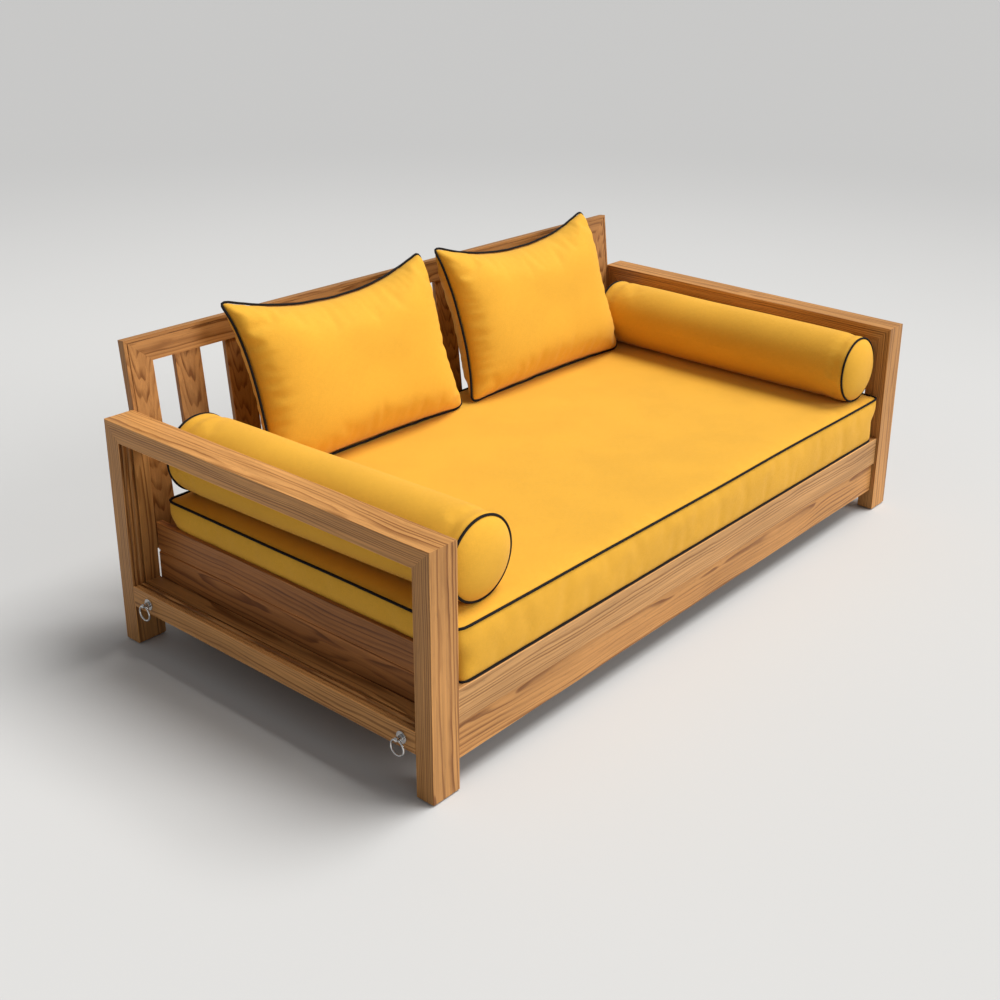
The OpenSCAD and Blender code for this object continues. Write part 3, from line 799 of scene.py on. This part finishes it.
PILLOW_LEAN = math.radians(18.5)
PILLOW_EAR = 34 * MM          # radius of the four ears
PILLOW_HALF_HEIGHT = 240 * MM
PILLOW_HALF_DEPTH = 93 * MM
PILLOW_SPREAD = 6 * MM        # how far its sides reach past their solid
TOP_PULL = 66 * MM            # how far the top seam is pulled down between the ears
FOOT_PULL = 7 * MM            # and the lower seam up
SIDE_PULL = 13 * MM
FOOT_SPLAY = 17 * MM          # how far the lower ears are pressed outwards
FOOT_STEP = 10 * MM           # and forwards
SEAM_FORWARD = 21 * MM        # how far the left seam lies forward of the middle
LUMP = 5 * MM
CREASE = 55 * MM


def round_corner(u, w, half_w, half_h, radius):
    """Moves a point of a rectangle's corner on to a rounded one."""
    du, dw = (abs(u) - half_w) / radius + 1, (abs(w) - half_h) / radius + 1
    if du <= 0 or dw <= 0:
        return u, w
    to_u, to_w = du * math.sqrt(1 - dw * dw / 2), dw * math.sqrt(1 - du * du / 2)
    return (math.copysign(half_w + (to_u - 1) * radius, u), math.copysign(half_h + (to_w - 1) * radius, w))


def make_pillow(node, seed, upper_ear):
    """A full scatter pillow: two panels sewn along a piped seam, pulled in between its ears."""
    low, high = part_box(node)
    half_w, half_h = (high.x - low.x) / 2 + PILLOW_SPREAD, PILLOW_HALF_HEIGHT
    dice = random.Random(seed)
    bm = bmesh.new()
    bmesh.ops.create_grid(bm, x_segments=58, y_segments=40, size=1.0)
    back = bmesh.ops.duplicate(bm, geom=bm.verts[:] + bm.edges[:] + bm.faces[:])
    back_faces = [g for g in back["geom"] if isinstance(g, bmesh.types.BMFace)]
    bmesh.ops.reverse_faces(bm, faces=back_faces)
    back_verts = {g for g in back["geom"] if isinstance(g, bmesh.types.BMVert)}
    sign = {v: (-1 if v in back_verts else 1) for v in bm.verts}
    map_cloth(bm, lambda l, f: (l.vert.co.x * half_w, l.vert.co.y * half_h))
    lumps = Vector((dice.uniform(0, 50), dice.uniform(0, 50), 0))
    for v in bm.verts:
        a, b = v.co.x, v.co.y
        side = sign[v]
        up, down = ((1 + b) / 2) ** 1.6, ((1 - b) / 2) ** 1.6
        bow = 1 - abs(a) ** 2.2
        u, w = round_corner(a * half_w, b * half_h, half_w, half_h, PILLOW_EAR)
        # the lower ears splay out where the pillow stands on them, and one upper ear is drawn out
        splay = abs(a) ** 6 * max(-b, 0) ** 5
        u += math.copysign(FOOT_SPLAY * splay, a)
        u -= upper_ear * max(-a, 0) ** 5 * max(b, 0) ** 4
        u -= a * SIDE_PULL * (1 - b * b) ** 1.2
        w += (FOOT_PULL * down - TOP_PULL * up) * bow
        swell = ((1 - abs(a) ** 4.2) * (1 - abs(b) ** 3.6)) ** 0.52
        swell *= 1 - 0.12 * up * bow
        lump = noise.noise(Vector((u * 6, w * 6, side * 3)) + lumps) * LUMP * swell
        # short creases run in from the seam
        along = u if abs(b) > abs(a) else w
        near = max(abs(a), abs(b))
        pucker = math.sin(along * 210 + 2.5 * math.sin(along * 37 + seed)) * near ** 14 * (1 - near)
        # the left seam lies forward of the middle, as the filling settles against the back
        ahead = SEAM_FORWARD * max(-a, 0) ** 9 * (1 - b * b) ** 0.6 + FOOT_STEP * splay
        v.co = Vector((u, w, side * (swell * PILLOW_HALF_DEPTH + lump + pucker * CREASE) + ahead))
        if near > 0.999:
            v.co.y += noise.noise(Vector((u * 55, w * 55, 5.0)) + lumps) * 1.8 * MM
            v.co.z += noise.noise(Vector((u * 13, w * 13, 2.0)) + lumps) * 2.4 * MM
            v.co.y += noise.noise(Vector((u * 16, w * 16, 9.0)) + lumps) * 2.0 * MM
    bmesh.ops.remove_doubles(bm, verts=bm.verts, dist=2 * MERGE)
    bm.verts.index_update()
    # stand it up: across stays X, the pillow's height goes up the lean, its front looks at -Y
    turn = Matrix.Rotation(math.radians(90) - PILLOW_LEAN, 3, "X")
    bmesh.ops.rotate(bm, matrix=turn, verts=bm.verts)
    bmesh.ops.translate(bm, vec=(low + high) / 2, verts=bm.verts)
    bmesh.ops.recalc_face_normals(bm, faces=bm.faces)
    uv = bm.loops.layers.uv["cloth"]
    rim = [v.index for v in bm.verts
           if any(abs(abs(l[uv].uv.x) - half_w) < 1e-4 or abs(abs(l[uv].uv.y) - half_h) < 1e-4
                  for l in v.link_loops)]
    obj = show(node + "_cover", finish_mesh(bm, node + "_cover", MUSTARD))
    return {"obj": obj, "seam": rim, "rims": {"edge": rim}, "pressure": 3.0, "ease": 0.03,
            "cap": 10 * MM, "node": node, "fill": 0.75}


def lean_on_back(obj):
    """Flattens a pillow's back where it meets the slanting back of the bed."""
    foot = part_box("back_bottom_rail")[0]
    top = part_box("back_top_rail")[1].z
    for v in obj.data.vertices:
        wall = foot.y + (v.co.z - foot.z) * LEAN.y / LEAN.z - 1 * MM
        if v.co.y > wall and v.co.z < top:
            v.co.y = wall + (v.co.y - wall) * PRESSED


# ---------------------------------------------------------------- make the cushions

covers = [
    make_mattress(),
    make_bolster("left_bolster", -28 * MM),
    make_bolster("right_bolster", -4 * MM),
    make_pillow("left_pillow", 11, 20 * MM),
    make_pillow("right_pillow", 29, 8 * MM),
]
fill_out(covers)

resting_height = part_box("mattress")[1].z - 2 * MM
for cover in covers:
    obj, node = cover["obj"], cover["node"]
    if node != "mattress":
        settle(obj, resting_height)
    if "pillow" in node:
        lean_on_back(obj)
    soften(obj)
    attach(obj, node)
    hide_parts(node)
    for label, rim in cover["rims"].items():
        path = ordered(rim, obj.data)
        points = smooth_loop([obj.data.vertices[i].co.copy() for i in path])
        cord_round(f"{node}_{label}_piping", points, node)

# ---------------------------------------------------------------- studio


def make_floor():
    """A plain pale floor with painted shade: it darkens a little with distance, standing in for light that
    falls off.
    """
    bm = bmesh.new()
    bmesh.ops.create_grid(bm, x_segments=1, y_segments=1, size=40.0)
    material, b, shader = new_material("studio_floor")
    place = b.node("TexCoord").outputs["Object"]
    paper = b.noise(place, 0.6, 2.0)
    pale = b.blend(paper.outputs["Fac"], (0.552, 0.555, 0.553, 1), (0.575, 0.578, 0.576, 1))
    # painted shade: the floor's colour darkens from 1.6 m to 7 m out, in place of the light falling off
    away = b.remap(b.vector("LENGTH", place, (0, 0, 0)), 1.6, 7.0)
    b.join(b.blend(away, pale, (0.425, 0.428, 0.430, 1)), shader.inputs["Base Color"])
    shader.inputs["Roughness"].default_value = 0.8
    shader.inputs["Specular IOR Level"].default_value = 0.15
    floor = show("studio_floor", finish_mesh(bm, "studio_floor", material))


def broad_lamp(name, toward, softness, strength, colour):
    """A lamp so far off and so broad that it lights the whole studio evenly."""
    lamp = bpy.data.lights.new(name, "SUN")
    lamp.angle = math.radians(softness)
    lamp.energy = strength
    lamp.color = colour
    obj = show(name, lamp)
    obj.rotation_euler = Vector(toward).to_track_quat("Z", "Y").to_euler()
    return obj


def make_studio():
    """The floor, two broad soft lamps and the light of the room."""
    make_floor()
    broad_lamp("overhead_key", (1.1, -0.55, 2.4), 32, 3.2, (1.0, 0.985, 0.965))
    broad_lamp("front_fill", (1.3, -3.0, 1.3), 30, 1.6, (1.0, 0.985, 0.965))
    world = bpy.data.worlds.new("studio_air")
    world.use_nodes = True
    air = world.node_tree.nodes["Background"]
    air.inputs["Color"].default_value = (0.97, 0.97, 0.97, 1)
    air.inputs["Strength"].default_value = 0.29
    SCENE.world = world
    SCENE.view_settings.view_transform = "Standard"


def make_camera():
    """Looks down at the bed from its front left."""
    data = bpy.data.cameras.new("studio_camera")
    data.sensor_width = 36.0
    data.lens = 49.864
    data.shift_x, data.shift_y = -0.10789, -0.08065
    camera = show("studio_camera", data)
    ahead = Vector((0.745009, 0.560151, -0.362205)).normalized()
    right = Vector((0.610007, -0.791822, 0.030152))
    right = (right - ahead * right.dot(ahead)).normalized()
    up = right.cross(ahead)
    camera.matrix_world = Matrix.Translation((-2.80924, -2.33036, 1.86715)) @ Matrix(
        (right, up, -ahead)).transposed().to_4x4()
    SCENE.camera = camera


make_studio()
make_camera()
